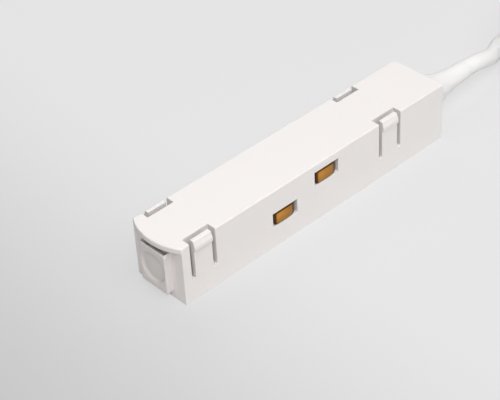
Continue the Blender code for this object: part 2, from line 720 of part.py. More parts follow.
# Sleeves: shrunk tube over the joint between each contact's tail and its core
sleeve_start = CARRIER_BACK + SEAT_GAP
sleeve_profile = [
    (0, SLEEVE_BORE),
    (0, SLEEVE_RADIUS),
    (SLEEVE_LENGTH, SLEEVE_RADIUS),
    (SLEEVE_LENGTH, SLEEVE_BORE),
    (0, SLEEVE_BORE),
]
sleeve_spots = zip(("black_sleeve", "red_sleeve"), (black_pvc, red_pvc), WINDOW_XS, WINDOW_ZS)
for name, material, x, z in sleeve_spots:
    tube = mesh_of(name, turned(sleeve_profile, "Y", 20), smooth_angle=30)
    place(name, tube, material, (x + ROOT_OFFSET - LEAF_THICKNESS / 2, sleeve_start, z), feed)

# Carrier: an upright wall with a slot for each root, pads against the housing and two screwed lugs
carrier_top = CEILING - SEAT_GAP
carrier_wall = prism(
    rectangle(CARRIER_START, CARRIER_END, CARRIER_FACE, CARRIER_BACK),
    "Z",
    LUG_HEIGHT - CARRIER_SKIRT,
    carrier_top,
)
contact_carrier = place(
    "contact_carrier", mesh_of("contact_carrier", carrier_wall), carrier_plastic, parent=feed
)
pad_starts = (
    CARRIER_START,
    WINDOW_XS[0] + ROOT_OFFSET + CARRIER_PAD / 2 + ROOT_SLOT_GAP,
    CARRIER_END - CARRIER_PAD,
)
pads = [
    prism(
        rectangle(
            start, start + CARRIER_PAD, SEAT_GAP - INNER_HALF, CARRIER_FACE + CARRIER_WALL / 2
        ),
        "Z",
        SNAP_TOP_HEIGHT + SEAT_GAP,
        carrier_top - SEAT_GAP,
    )
    for start in pad_starts
]
boolean(contact_carrier, "UNION", pads, "carrier_pads", feed)
lug_end = CARRIER_SCREW_Y + SCREW_HEAD_RADIUS + SEAT_GAP
lug_top = LUG_HEIGHT + LUG_THICKNESS
lugs, gussets = [], []
for x in CARRIER_SCREW_XS:
    lug_near, lug_far = x - LUG_LENGTH / 2, x + LUG_LENGTH / 2
    lug_outline = [(lug_near, root_y), (lug_far, root_y)]
    lug_outline += arc((lug_far - LUG_CORNER, lug_end - LUG_CORNER), LUG_CORNER, 0, 90, 5)
    lug_outline += arc((lug_near + LUG_CORNER, lug_end - LUG_CORNER), LUG_CORNER, 90, 180, 5)
    lugs.append(prism(lug_outline, "Z", LUG_HEIGHT, lug_top))
    gusset_outline = [
        (root_y, lug_top - LUG_THICKNESS / 2),
        (CARRIER_SCREW_Y, lug_top - LUG_THICKNESS / 2),
        (CARRIER_SCREW_Y, lug_top + SEAT_GAP),
        (CARRIER_BACK, lug_top + GUSSET_RISE),
        (root_y, lug_top + GUSSET_RISE),
    ]
    for side in (-1, 1):
        gusset_x = x + side * (BOSS_RADIUS + SEAT_GAP + GUSSET_THICKNESS / 2)
        gussets.append(
            prism(gusset_outline, "X", gusset_x - GUSSET_THICKNESS / 2, gusset_x + GUSSET_THICKNESS / 2)
        )
boolean(contact_carrier, "UNION", lugs, "carrier_lugs", feed)
boolean(contact_carrier, "UNION", gussets, "carrier_gussets", feed)
root_slots = [
    prism(
        rectangle(
            x + ROOT_OFFSET - LEAF_THICKNESS - ROOT_SLOT_GAP,
            x + ROOT_OFFSET + ROOT_SLOT_GAP,
            z - TAIL_WIDTH / 2 - SEAT_GAP,
            z + TAIL_WIDTH / 2 + SEAT_GAP,
        ),
        "Y",
        CARRIER_FACE - PAST,
        CARRIER_BACK + PAST,
    )
    for x, z in zip(WINDOW_XS, WINDOW_ZS)
]
screw_holes = [
    shaft(
        SCREW_BORE,
        LUG_HEIGHT - PAST,
        lug_top + PAST,
        "Z",
        (x, CARRIER_SCREW_Y, 0),
    )
    for x in CARRIER_SCREW_XS
]
boolean(contact_carrier, "DIFFERENCE", root_slots + screw_holes, "carrier_holes", feed)

# Clamp: a bar under the lead, drawn up by two screws
clamp_bar = prism(
    rounded_rectangle(
        CLAMP_X - CLAMP_LENGTH / 2,
        CLAMP_X + CLAMP_LENGTH / 2,
        -CLAMP_HALF,
        CLAMP_HALF,
        CLAMP_LENGTH / 3,
    ),
    "Z",
    clamp_top - CLAMP_THICKNESS,
    clamp_top,
)
cable_clamp = place("cable_clamp", mesh_of("cable_clamp", clamp_bar), carrier_plastic, parent=feed)
clamp_holes = [
    shaft(
        SCREW_BORE, clamp_top - CLAMP_THICKNESS - PAST, clamp_top + PAST, "Z", (CLAMP_X, y, 0)
    )
    for y in (-CLAMP_SCREW_Y, CLAMP_SCREW_Y)
]
boolean(cable_clamp, "DIFFERENCE", clamp_holes, "clamp_holes", feed)

# Screws: pan heads below what they hold, each with a round driver recess
screw_profile = [
    (-SCREW_HEAD + 0.6 * SCREW_HEAD, 0),
    (-SCREW_HEAD + 0.5 * SCREW_HEAD, SCREW_HEAD_RADIUS / 3),
    (-SCREW_HEAD, SCREW_HEAD_RADIUS / 2.5),
    (-SCREW_HEAD, 0.75 * SCREW_HEAD_RADIUS),
    (-0.6 * SCREW_HEAD, SCREW_HEAD_RADIUS),
    (0, SCREW_HEAD_RADIUS),
    (0, SCREW_RADIUS),
    (SCREW_LENGTH - SCREW_RADIUS, SCREW_RADIUS),
    (SCREW_LENGTH, 0.3 * SCREW_RADIUS),
    (SCREW_LENGTH, 0),
]
screw_mesh = mesh_of("screw", turned(screw_profile, "Z", 20), smooth_angle=30)
screw_spots = {
    "carrier_screw_front": (CARRIER_SCREW_XS[0], CARRIER_SCREW_Y, LUG_HEIGHT - SEAT_GAP),
    "carrier_screw_rear": (CARRIER_SCREW_XS[1], CARRIER_SCREW_Y, LUG_HEIGHT - SEAT_GAP),
    "clamp_screw_left": (CLAMP_X, CLAMP_SCREW_Y, clamp_top - CLAMP_THICKNESS - SEAT_GAP),
    "clamp_screw_right": (CLAMP_X, -CLAMP_SCREW_Y, clamp_top - CLAMP_THICKNESS - SEAT_GAP),
}
screw_mesh.materials.append(steel)
for name, spot in screw_spots.items():
    screw = bpy.data.objects.new(name, screw_mesh)
    bpy.context.scene.collection.objects.link(screw)
    screw.location = spot
    screw.parent = feed

# Inner end of the lead: its sheath from the boot to past the clamp, then a core to each sleeve
sheath = shaft(CABLE_RADIUS, SHEATH_END, BOOT_FLANGE_START - SEAT_GAP, "X", (0, 0, CABLE_HEIGHT))
place("lead_inner_end", mesh_of("lead_inner_end", sheath, 30), white_pvc, parent=feed)
core_pitch = 2 * CORE_RADIUS + SEAT_GAP
core_end_y = CARRIER_BACK + TAIL_LENGTH + SEAT_GAP
core_run_y = core_end_y + CORE_BEND
core_facts = zip(("black_core", "red_core"), (black_pvc, red_pvc), (-1, 1), WINDOW_XS, WINDOW_ZS)
for name, material, side, window_x, window_z in core_facts:
    core_x = window_x + ROOT_OFFSET - LEAF_THICKNESS / 2
    start_z = CABLE_HEIGHT + side * core_pitch / 2
    core_points = [
        (SHEATH_END - SEAT_GAP, 0, start_z),
        (SHEATH_END - 3 * MM, 0, start_z),
        (SHEATH_END - 9 * MM, core_run_y, (start_z + 2 * window_z) / 3),
        (core_x + 7 * MM, core_run_y, window_z),
        (core_x + 3 * MM, core_run_y, window_z),
        (core_x + 0.9 * MM, core_run_y - 0.7 * MM, window_z),
        (core_x, core_run_y - 1.9 * MM, window_z),
        (core_x, core_end_y, window_z),
    ]
    wire(name, smooth_line(core_points, CORE_RADIUS), CORE_RADIUS, material, feed)

# Lead: the stretch that isn't coiled, from the boot down to the surface and into the hank
hank_lead_y = HANK_Y + HANK_OUTER - 1.2 * CABLE_RADIUS
hank_low_z = HANK_LIFT + CABLE_RADIUS
hank_face = math.sqrt(HANK_OUTER**2 - (hank_lead_y - CABLE_RADIUS - HANK_Y) ** 2)
lead_points = [
    (LEAD_EXIT + SEAT_GAP, 0, CABLE_HEIGHT),
    (LEAD_EXIT + 6 * MM, 0, CABLE_HEIGHT - 0.3 * MM),
    (LEAD_EXIT + 13 * MM, 1.2 * MM, CABLE_HEIGHT - 2.6 * MM),
    (LEAD_EXIT + 20 * MM, 3.8 * MM, CABLE_HEIGHT - 5.3 * MM),
    (HANK_X - hank_face - 2 * SEAT_GAP, hank_lead_y, hank_low_z),
]
wire("supply_lead", smooth_line(lead_points, 2.2 * CABLE_RADIUS), CABLE_RADIUS, white_pvc, feed)

# Hank: the outer shape of the folded spare lead, an outline with round ends
hank_ring = prism(stadium(HANK_X, HANK_X + HANK_RUN, HANK_Y, HANK_OUTER), "Z", HANK_LIFT, HANK_TOP)
lead_hank = place("lead_hank", mesh_of("lead_hank", hank_ring), white_pvc, parent=feed)
hank_eye = prism(
    stadium(HANK_X, HANK_X + HANK_RUN, HANK_Y, HANK_INNER), "Z", HANK_LIFT - PAST, HANK_TOP + PAST
)
boolean(lead_hank, "DIFFERENCE", [hank_eye], "hank_eye", feed)

# Ties: a nylon band round each side of the hank
band_half = (HANK_OUTER - HANK_INNER) / 2 + SEAT_GAP
band_top = HANK_TOP + SEAT_GAP
tie_spots = (
    ("hank_tie_left", 1, HANK_X + TIE_INSET),
    ("hank_tie_right", -1, HANK_X + HANK_RUN - TIE_INSET),
)
for name, side, tie_x in tie_spots:
    middle = HANK_Y + side * HANK_SIDE_Y
    tie_near, tie_far = tie_x - TIE_WIDTH / 2, tie_x + TIE_WIDTH / 2
    band_outline = rounded_rectangle(
        middle - band_half - TIE_THICKNESS,
        middle + band_half + TIE_THICKNESS,
        0,
        band_top + TIE_THICKNESS,
        2 * TIE_THICKNESS,
    )
    band_mesh = mesh_of(name, prism(band_outline, "X", tie_near, tie_far))
    band = place(name, band_mesh, tie_nylon, parent=feed)
    inside_outline = rounded_rectangle(
        middle - band_half, middle + band_half, TIE_THICKNESS, band_top, TIE_THICKNESS / 4
    )
    inside = prism(inside_outline, "X", tie_near - PAST, tie_far + PAST)
    boolean(band, "DIFFERENCE", [inside], name + "_inside", feed)

# Far end of the lead, on top of the hank: its sheath, then two stripped cores with crimped ferrules
end_y = HANK_Y - HANK_FOLD_RADIUS
end_x = HANK_X + LEAD_END_START
end_z = HANK_TOP + SEAT_GAP + CABLE_RADIUS
sheath_stop = end_x - LEAD_END_LENGTH
lead_end_points = [(end_x, end_y, end_z), (sheath_stop, end_y, end_z)]
wire("lead_far_end", smooth_line(lead_end_points, 2 * CABLE_RADIUS), CABLE_RADIUS, white_pvc, feed)
core_low_z = HANK_TOP + SEAT_GAP + FERRULE_COLLAR_RADIUS
ferrule_profile = [
    (-FERRULE_LENGTH, 0),
    (-FERRULE_LENGTH, FERRULE_RADIUS),
    (FERRULE_RADIUS - FERRULE_COLLAR_RADIUS - FERRULE_COLLAR, FERRULE_RADIUS),
    (-FERRULE_COLLAR, FERRULE_COLLAR_RADIUS),
    (0, FERRULE_COLLAR_RADIUS),
    (0, 0),
]
for colour, material, side in (("red", red_pvc, 1), ("black", black_pvc, -1)):
    start_y = end_y + side * core_pitch / 2
    stop_y = end_y + side * core_pitch
    stop_x = sheath_stop - TAIL_CORE_LENGTH
    tail_points = [
        (sheath_stop - SEAT_GAP, start_y, end_z),
        (sheath_stop - 3 * MM, start_y, end_z),
        (sheath_stop - 11 * MM, stop_y, core_low_z),
        (stop_x, stop_y, core_low_z),
    ]
    tail_line = smooth_line(tail_points, CORE_RADIUS * 1.5)
    wire(f"{colour}_tail", tail_line, CORE_RADIUS, material, feed, resolution=2)
    ferrule = mesh_of(f"{colour}_ferrule", turned(ferrule_profile, "X", 14), smooth_angle=30)
    place(f"{colour}_ferrule", ferrule, tin, (stop_x - SEAT_GAP, stop_y, core_low_z), feed)
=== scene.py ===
"""The power feed of a low-voltage lighting track, dressed for its picture in Blender 4.5."""

import math

import bmesh
import bpy
from mathutils import Matrix, Vector
from mathutils.geometry import interpolate_bezier


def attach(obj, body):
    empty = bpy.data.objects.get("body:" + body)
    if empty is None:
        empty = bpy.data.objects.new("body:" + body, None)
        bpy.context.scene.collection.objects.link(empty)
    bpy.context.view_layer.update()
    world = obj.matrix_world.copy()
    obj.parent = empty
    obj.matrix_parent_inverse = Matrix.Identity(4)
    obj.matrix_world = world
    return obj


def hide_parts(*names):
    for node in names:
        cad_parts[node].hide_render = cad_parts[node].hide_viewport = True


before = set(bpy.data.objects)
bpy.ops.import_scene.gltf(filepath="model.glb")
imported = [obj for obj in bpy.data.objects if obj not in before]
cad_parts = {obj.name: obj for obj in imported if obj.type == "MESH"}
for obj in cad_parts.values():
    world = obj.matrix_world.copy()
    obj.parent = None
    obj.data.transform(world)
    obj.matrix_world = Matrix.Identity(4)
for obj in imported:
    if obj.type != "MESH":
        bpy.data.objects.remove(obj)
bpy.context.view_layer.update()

# Camera: it looks down on the plugged front end and on the side with the contacts.
# A long lens, as for a catalogue picture, held a little askew.
MM = 0.001
CAMERA_AT = Vector((-242.77, -254.87, 279.14)) * MM
CAMERA_AZIMUTH = math.radians(-41.47)
CAMERA_ELEVATION = math.radians(38.19)
CAMERA_ROLL = math.radians(-3.52)
CAMERA_LENS = 108.53
CAMERA_SENSOR = 36.0
CAMERA_NEAR = 10 * MM

backward = Vector(
    (
        math.sin(CAMERA_AZIMUTH) * math.cos(CAMERA_ELEVATION),
        -math.cos(CAMERA_AZIMUTH) * math.cos(CAMERA_ELEVATION),
        math.sin(CAMERA_ELEVATION),
    )
)
level = Vector((0, 0, 1)).cross(backward).normalized()
upright = backward.cross(level)
camera_right = math.cos(CAMERA_ROLL) * level + math.sin(CAMERA_ROLL) * upright
camera_up = math.cos(CAMERA_ROLL) * upright - math.sin(CAMERA_ROLL) * level
camera_data = bpy.data.cameras.new("camera")
camera_data.lens = CAMERA_LENS
camera_data.sensor_width = CAMERA_SENSOR
camera_data.clip_start = CAMERA_NEAR
camera = bpy.data.objects.new("camera", camera_data)
camera_turn = Matrix((camera_right, camera_up, backward)).transposed().to_4x4()
camera.matrix_world = Matrix.Translation(CAMERA_AT) @ camera_turn
bpy.context.scene.collection.objects.link(camera)
bpy.context.scene.camera = camera

# Lead: two cores in one round jacket of soft white PVC, extruded, 5.6 mm across and 1.4 m long.
# It leaves the boot, comes down to the table and is folded into a hank of six turns, two wide and
# three deep, whose stripped end lies on top.
LEAD_RADIUS = 2.8 * MM
LEAD_ROUTE = (
    (76.0, 0, 10.0),
    (79.5, 0, 9.95),
    (83.0, 0, 9.7),
    (90.0, 1.2, 7.4),
    (97.0, 3.8, 4.7),
    (103.9, 6.74, 4.0),
    (112.0, 7.25, 4.0),
    (121.025, 7.3, 4.0),
)
HANK_NEAR_FOLD = Vector((121.025, -15.1, 0)) * MM
HANK_RUN = 57 * MM
OUTER_TURN = 22.4 * MM
INNER_TURN = 16.8 * MM
LAYER_HEIGHTS = (4.0 * MM, 9.6 * MM, 15.2 * MM)
TOP_HEIGHT = 21.1 * MM
HANK_TURNS = (
    (OUTER_TURN, LAYER_HEIGHTS[0]),
    (INNER_TURN, LAYER_HEIGHTS[0]),
    (INNER_TURN, LAYER_HEIGHTS[1]),
    (OUTER_TURN, LAYER_HEIGHTS[1]),
    (OUTER_TURN, LAYER_HEIGHTS[2]),
    (INNER_TURN, LAYER_HEIGHTS[2]),
    (INNER_TURN, TOP_HEIGHT),
)
CROSSING_LENGTH = 22 * MM
FIRST_CROSSING = 45 * MM
CROSSING_STAGGER = 7 * MM
STEPS_A_SIDE = 28
SHEATH_STOP = 133.325 * MM
HEIGHT_PLAY = 0.01 * MM
LEAD_COLOUR = (0.925, 0.914, 0.902)
VINYL_SHINE = 0.4
VINYL_GLOW = 0.5
VINYL_GLOW_TINT = (1.0, 0.9, 0.85)
VINYL_GLOW_DEPTH = 2.5 * MM
CLOUD_DETAIL = 3
GRAIN_DETAIL = 2
GRAIN_RELIEF = 0.004 * MM
GLOSS_SWING = 0.06
WIRE_ROUNDNESS = 6


def spread(tree, source, low, high, start=0.0, stop=1.0):
    """Turns a number that runs from start to stop into one that runs from low to high."""
    node = tree.nodes.new("ShaderNodeMapRange")
    node.inputs["From Min"].default_value = start
    node.inputs["From Max"].default_value = stop
    node.inputs["To Min"].default_value = low
    node.inputs["To Max"].default_value = high
    tree.links.new(source, node.inputs["Value"])
    return node


def coat(name, colour, roughness, drift=0.03, drift_size=6 * MM, grain=0.3 * MM):
    """A finish whose colour and gloss drift a little from place to place, over a fine moulded grain."""
    made = bpy.data.materials.new(name)
    made.use_nodes = True
    tree = made.node_tree
    shader = tree.nodes["Principled BSDF"]
    where = tree.nodes.new("ShaderNodeTexCoord")
    cloud = tree.nodes.new("ShaderNodeTexNoise")
    cloud.inputs["Scale"].default_value = 1 / drift_size
    cloud.inputs["Detail"].default_value = CLOUD_DETAIL
    tree.links.new(where.outputs["Object"], cloud.inputs["Vector"])
    tint = tree.nodes.new("ShaderNodeMix")
    tint.data_type = "RGBA"
    tint.inputs["A"].default_value = (*(c * (1 - drift) for c in colour), 1)
    tint.inputs["B"].default_value = (*(min(1, c * (1 + drift)) for c in colour), 1)
    tree.links.new(cloud.outputs["Fac"], tint.inputs["Factor"])
    tree.links.new(tint.outputs["Result"], shader.inputs["Base Color"])
    pitted = tree.nodes.new("ShaderNodeTexNoise")
    pitted.inputs["Scale"].default_value = 1 / grain
    pitted.inputs["Detail"].default_value = GRAIN_DETAIL
    tree.links.new(where.outputs["Object"], pitted.inputs["Vector"])
    gloss = spread(tree, pitted.outputs["Fac"], roughness - GLOSS_SWING, roughness + GLOSS_SWING)
    tree.links.new(gloss.outputs["Result"], shader.inputs["Roughness"])
    bump = tree.nodes.new("ShaderNodeBump")
    bump.inputs["Distance"].default_value = GRAIN_RELIEF
    tree.links.new(pitted.outputs["Fac"], bump.inputs["Height"])
    tree.links.new(bump.outputs["Normal"], shader.inputs["Normal"])
    return made


def smooth_through(points, steps=10):
    """Points along one smooth curve through the given ones."""
    given = [Vector(p) for p in points]
    ends = [given[0] * 2 - given[1], *given, given[-1] * 2 - given[-2]]
    line = [given[0]]
    for before, start, end, after in zip(ends, ends[1:], ends[2:], ends[3:]):
        pull = (end - start).length / 3
        leave = start + (end - before).normalized() * pull
        arrive = end - (after - start).normalized() * pull
        line += interpolate_bezier(start, leave, arrive, end, steps + 1)[1:]
    return line


def hank_point(side, share, now, later, crossing_start):
    """A point on one turn: side 0 and 2 are the straight runs, 1 and 3 the folds after them."""
    walked = share * HANK_RUN if side == 2 else HANK_RUN + share * math.pi * INNER_TURN
    crossed = (walked - crossing_start) / CROSSING_LENGTH if side >= 2 else 0.0
    crossed = min(1.0, max(0.0, crossed))
    crossed = crossed * crossed * (3 - 2 * crossed)
    radius, height = (a + (b - a) * crossed for a, b in zip(now, later))
    lift = Vector((0, 0, height))
    if side == 0:
        return HANK_NEAR_FOLD + Vector((share * HANK_RUN, radius, 0)) + lift
    if side == 2:
        return HANK_NEAR_FOLD + Vector(((1 - share) * HANK_RUN, -radius, 0)) + lift
    turned = math.pi * share
    across = Vector((math.sin(turned) * radius, math.cos(turned) * radius, 0))
    if side == 1:
        return HANK_NEAR_FOLD + Vector((HANK_RUN, 0, 0)) + across + lift
    return HANK_NEAR_FOLD - across + lift


lead_line = smooth_through([Vector(p) * MM for p in LEAD_ROUTE])[:-1]
for turn, (now, later) in enumerate(zip(HANK_TURNS, HANK_TURNS[1:])):
    crossing_start = FIRST_CROSSING - turn * CROSSING_STAGGER
    for side in range(4):
        for step in range(STEPS_A_SIDE):
            point = hank_point(side, step / STEPS_A_SIDE, now, later, crossing_start)
            lead_line.append(point)
last_point = max(
    i for i, p in enumerate(lead_line) if p.z > TOP_HEIGHT - HEIGHT_PLAY and p.x > SHEATH_STOP
)
lead_line = lead_line[: last_point + 1]
lead_line.append(Vector((SHEATH_STOP, lead_line[-1].y, TOP_HEIGHT)))

lead_finish = coat(
    "lead_finish", LEAD_COLOUR, roughness=0.42, drift=0.02, drift_size=12 * MM, grain=0.5 * MM
)
lead_shader = lead_finish.node_tree.nodes["Principled BSDF"]
lead_shader.inputs["Specular IOR Level"].default_value = VINYL_SHINE
lead_shader.inputs["Subsurface Weight"].default_value = VINYL_GLOW
lead_shader.inputs["Subsurface Radius"].default_value = VINYL_GLOW_TINT
lead_shader.inputs["Subsurface Scale"].default_value = VINYL_GLOW_DEPTH


def wire(name, line, radius, finish):
    """A round wire along a line of points, with closed ends."""
    curve = bpy.data.curves.new(name, "CURVE")
    curve.dimensions = "3D"
    spline = curve.splines.new("POLY")
    spline.points.add(len(line) - 1)
    for spline_point, place in zip(spline.points, line):
        spline_point.co = (*place, 1)
    spline.use_smooth = True
    curve.bevel_depth = radius
    curve.bevel_resolution = WIRE_ROUNDNESS
    curve.use_fill_caps = True
    curve.materials.append(finish)
    piece = bpy.data.objects.new(name, curve)
    bpy.context.scene.collection.objects.link(piece)
    return piece


lead = wire("lead", lead_line, LEAD_RADIUS, lead_finish)
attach(lead, "feed")
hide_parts("supply_lead", "lead_hank", "lead_far_end")

# Ties: two straps of white nylon round the hank's runs, each drawn through a small locking head.
# What is left over of a strap is cut off close to its head.
TIE_SPOTS = {
    "hank_tie_left": (127.025 * MM, 4.5 * MM, 1),
    "hank_tie_right": (172.025 * MM, -34.7 * MM, -1),
}
STRAP_HALF_WIDTH = 1.8 * MM
STRAP_THICKNESS = 0.8 * MM
STRAP_ROUND = 0.25 * MM
STRAP_INSIDE = 5.95 * MM
STRAP_LOW = 0.9 * MM
STRAP_TOP = 18.35 * MM
STRAP_CORNER = 2.4 * MM
CORNER_STEPS = 8
HEAD_HALF = 2.35 * MM
HEAD_THICKNESS = 2.3 * MM
HEAD_AT = 13.5 * MM
HEAD_SLOT = (1.95 * MM, 0.75 * MM)
HEAD_SLOT_DEPTH = 1.0 * MM
HEAD_ROUND = 0.25 * MM
STUB = (1.65 * MM, 0.42 * MM)
STUB_STAND = 0.25 * MM
SPOKES = 120
LEAST_SLOPE = 1e-9
SAME_PLACE = 0.001 * MM
SHARP_FROM = math.radians(50)
TIE_COLOUR = (0.85, 0.85, 0.83)
TIE_GLOW = 0.4
TIE_GLOW_DEPTH = 1.5 * MM

spokes = [math.tau * i / SPOKES for i in range(SPOKES)]
tie_nylon = coat("tie_nylon", TIE_COLOUR, roughness=0.38, drift=0.03, drift_size=4 * MM)
tie_shader = tie_nylon.node_tree.nodes["Principled BSDF"]
tie_shader.inputs["Subsurface Weight"].default_value = TIE_GLOW
tie_shader.inputs["Subsurface Scale"].default_value = TIE_GLOW_DEPTH


def squared(angle, half_width, half_height, corner):
    """Where a ray from the middle meets a rectangle with round corners."""
    across, up = math.cos(angle), math.sin(angle)
    side = min(half_width / max(abs(across), LEAST_SLOPE), half_height / max(abs(up), LEAST_SLOPE))
    y, z = side * across, side * up
    corner_y, corner_z = half_width - corner, half_height - corner
    if abs(y) > corner_y and abs(z) > corner_z:
        middle_y = math.copysign(corner_y, y)
        middle_z = math.copysign(corner_z, z)
        along = middle_y * across + middle_z * up
        away = math.sqrt(corner**2 - (middle_y * up - middle_z * across) ** 2)
        y, z = (along + away) * across, (along + away) * up
    return y, z


def skin(name, rings, finish, closed_ends=True):
    """Skins a run of rings that have equally many points, and shades it smooth."""
    form = bmesh.new()
    rows = [[form.verts.new(point) for point in ring] for ring in rings]
    for near, far in zip(rows, rows[1:]):
        for i in range(len(near)):
            j = (i + 1) % len(near)
            form.faces.new((near[i], near[j], far[j], far[i]))
    if closed_ends:
        form.faces.new(rows[0])
        form.faces.new(rows[-1])
    bmesh.ops.remove_doubles(form, verts=form.verts, dist=SAME_PLACE)
    bmesh.ops.recalc_face_normals(form, faces=form.faces)
    mesh = bpy.data.meshes.new(name)
    form.to_mesh(mesh)
    form.free()
    mesh.shade_smooth()
    mesh.set_sharp_from_angle(angle=SHARP_FROM)
    mesh.materials.append(finish)
    piece = bpy.data.objects.new(name, mesh)
    bpy.context.scene.collection.objects.link(piece)
    return piece


def strap_outline(outward):
    """The strap's way round the runs, as across and up from the middle, that far out."""
    half = STRAP_INSIDE + outward
    corner = STRAP_CORNER + outward
    low, top = STRAP_LOW - outward, STRAP_TOP + outward
    corners = (
        (half - corner, low + corner, -90),
        (half - corner, top - corner, 0),
        (corner - half, top - corner, 90),
        (corner - half, low + corner, 180),
    )
    line = []
    for across, up, begins in corners:
        for step in range(CORNER_STEPS + 1):
            turn = math.radians(begins + 90 * step / CORNER_STEPS)
            line.append((across + corner * math.cos(turn), up + corner * math.sin(turn)))
    return line


strap_section = [
    (-STRAP_HALF_WIDTH + STRAP_ROUND, 0.0),
    (STRAP_HALF_WIDTH - STRAP_ROUND, 0.0),
    (STRAP_HALF_WIDTH, STRAP_ROUND),
    (STRAP_HALF_WIDTH, STRAP_THICKNESS - STRAP_ROUND),
    (STRAP_HALF_WIDTH - STRAP_ROUND, STRAP_THICKNESS),
    (-STRAP_HALF_WIDTH + STRAP_ROUND, STRAP_THICKNESS),
    (-STRAP_HALF_WIDTH, STRAP_THICKNESS - STRAP_ROUND),
    (-STRAP_HALF_WIDTH, STRAP_ROUND),
]
head_rings = [
    (0.0, HEAD_HALF, HEAD_HALF),
    (HEAD_THICKNESS - HEAD_ROUND, HEAD_HALF, HEAD_HALF),
    (HEAD_THICKNESS, HEAD_HALF - HEAD_ROUND, HEAD_HALF - HEAD_ROUND),
    (HEAD_THICKNESS, *HEAD_SLOT),
    (HEAD_THICKNESS - HEAD_SLOT_DEPTH, *HEAD_SLOT),
    (HEAD_THICKNESS - HEAD_SLOT_DEPTH, *STUB),
    (HEAD_THICKNESS + STUB_STAND, *STUB),
]
for node, (tie_x, tie_y, side) in TIE_SPOTS.items():
    outlines = [(along, strap_outline(outward)) for along, outward in strap_section]
    rings = [
        [Vector((tie_x + along, tie_y + line[i][0], line[i][1])) for along, line in outlines]
        for i in range(len(outlines[0][1]))
    ]
    strap = skin(node + "_strap", [*rings, rings[0]], tie_nylon, closed_ends=False)
    on_strap = Vector((tie_x, tie_y + side * (STRAP_INSIDE + STRAP_THICKNESS / 2), HEAD_AT))
    rings = []
    for outward, half_x, half_z in head_rings:
        ring = [squared(a, half_x, half_z, HEAD_ROUND) for a in spokes]
        rings.append([on_strap + Vector((across, side * outward, up)) for across, up in ring])
    head = skin(node + "_head", rings, tie_nylon)
    for piece in (strap, head):
        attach(piece, "feed")
    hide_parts(node)

# Far end: the jacket is stripped back from two stranded cores in red and black PVC. Each core ends
# in a tinned copper ferrule, a collar over the core's insulation and a crimped square barrel.
CORE_RADIUS = 0.85 * MM
CORE_COLOURS = {"red": ((0.62, 0.035, 0.03), 1), "black": ((0.03, 0.03, 0.032), -1)}
TIN_COLOUR = (0.6, 0.6, 0.61)
TAIL_ROUTE = (
    (134.0, 1.0, 21.1),
    (130.025, 1.05, 21.05),
    (126.0, 1.5, 20.3),
    (122.025, 1.95, 19.55),
    (117.5, 2.0, 19.45),
    (112.6, 2.0, 19.45),
)
TAIL_MIDDLE_Y = -31.9 * MM
FERRULE_AT = Vector((112.725, 0, 19.45)) * MM
COLLAR_PROFILE = (
    (0.25, 0.86),
    (0.0, 1.0),
    (-0.15, 1.12),
    (-0.4, 1.15),
    (-2.5, 1.12),
    (-2.75, 1.0),
    (-3.05, 0.78),
)
BARREL_STOP = -8.0 * MM
BARREL_HALF = 0.7 * MM
BARREL_FLATNESS = 0.9
BARREL_NOTCH = 0.05 * MM
BARREL_STEPS = 40
NOTCHES = 5

tinned = coat(
    "tinned_copper", TIN_COLOUR, roughness=0.36, drift=0.06, drift_size=1 * MM, grain=0.1 * MM
)
tinned.node_tree.nodes["Principled BSDF"].inputs["Metallic"].default_value = 1.0
core_vinyls = {}
for colour, (tint, side) in CORE_COLOURS.items():
    vinyl = coat(colour + "_vinyl", tint, roughness=0.4, drift=0.08, drift_size=3 * MM)
    core_vinyls[colour] = vinyl
    route = [
        Vector((x * MM, TAIL_MIDDLE_Y + side * y * MM, z * MM)) for x, y, z in TAIL_ROUTE
    ]
    tail = wire(colour + "_stripped_core", smooth_through(route), CORE_RADIUS, vinyl)
    ferrule_at = FERRULE_AT + Vector((0, route[-1].y, 0))
    rings = [
        [ferrule_at + Vector((x, r * math.cos(a), r * math.sin(a))) for a in spokes]
        for x, r in ((along * MM, radius * MM) for along, radius in COLLAR_PROFILE)
    ]
    barrel_start = COLLAR_PROFILE[-1][0] * MM
    for step in range(1, BARREL_STEPS + 1):
        share = step / BARREL_STEPS
        squeeze = BARREL_NOTCH * (0.5 - 0.5 * math.cos(math.tau * NOTCHES * share))
        half = BARREL_HALF - squeeze
        x = barrel_start + share * (BARREL_STOP - barrel_start)
        ring = [squared(a, half, half * BARREL_FLATNESS, half / 2) for a in spokes]
        rings.append([ferrule_at + Vector((x, y, z)) for y, z in ring])
    ferrule = skin(colour + "_crimped_ferrule", rings, tinned)
    for piece, node, slot in (
        (tail, colour + "_tail", colour + "_pvc"),
        (ferrule, colour + "_ferrule", "tin"),
    ):
        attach(piece, "feed")
        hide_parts(node)

# Housing: one injection moulding of matt white ABS, open below, with four snap tabs cut free of
# its sides. Its edges are a little round, as they leave the mould.
PLASTIC_COLOUR = (0.92, 0.882, 0.864)
PLASTIC_SHINE = 0.35
PLASTIC_GLOW = 0.15
PLASTIC_GLOW_TINT = (1.0, 0.85, 0.75)
PLASTIC_GLOW_DEPTH = 1.2 * MM
CORNER_REACH = 3 * MM
CORNER_PAINTED_SHADE = 0.3
HOLLOW_SAMPLES = 8
EDGE_ROUND = 0.08 * MM
EDGE_SEGMENTS = 2
EDGE_ANGLE = math.radians(20)
FLAT_WITHIN = math.radians(0.5)
SHORT_EDGE = 0.1 * MM
FACE_WEIGHT = 100


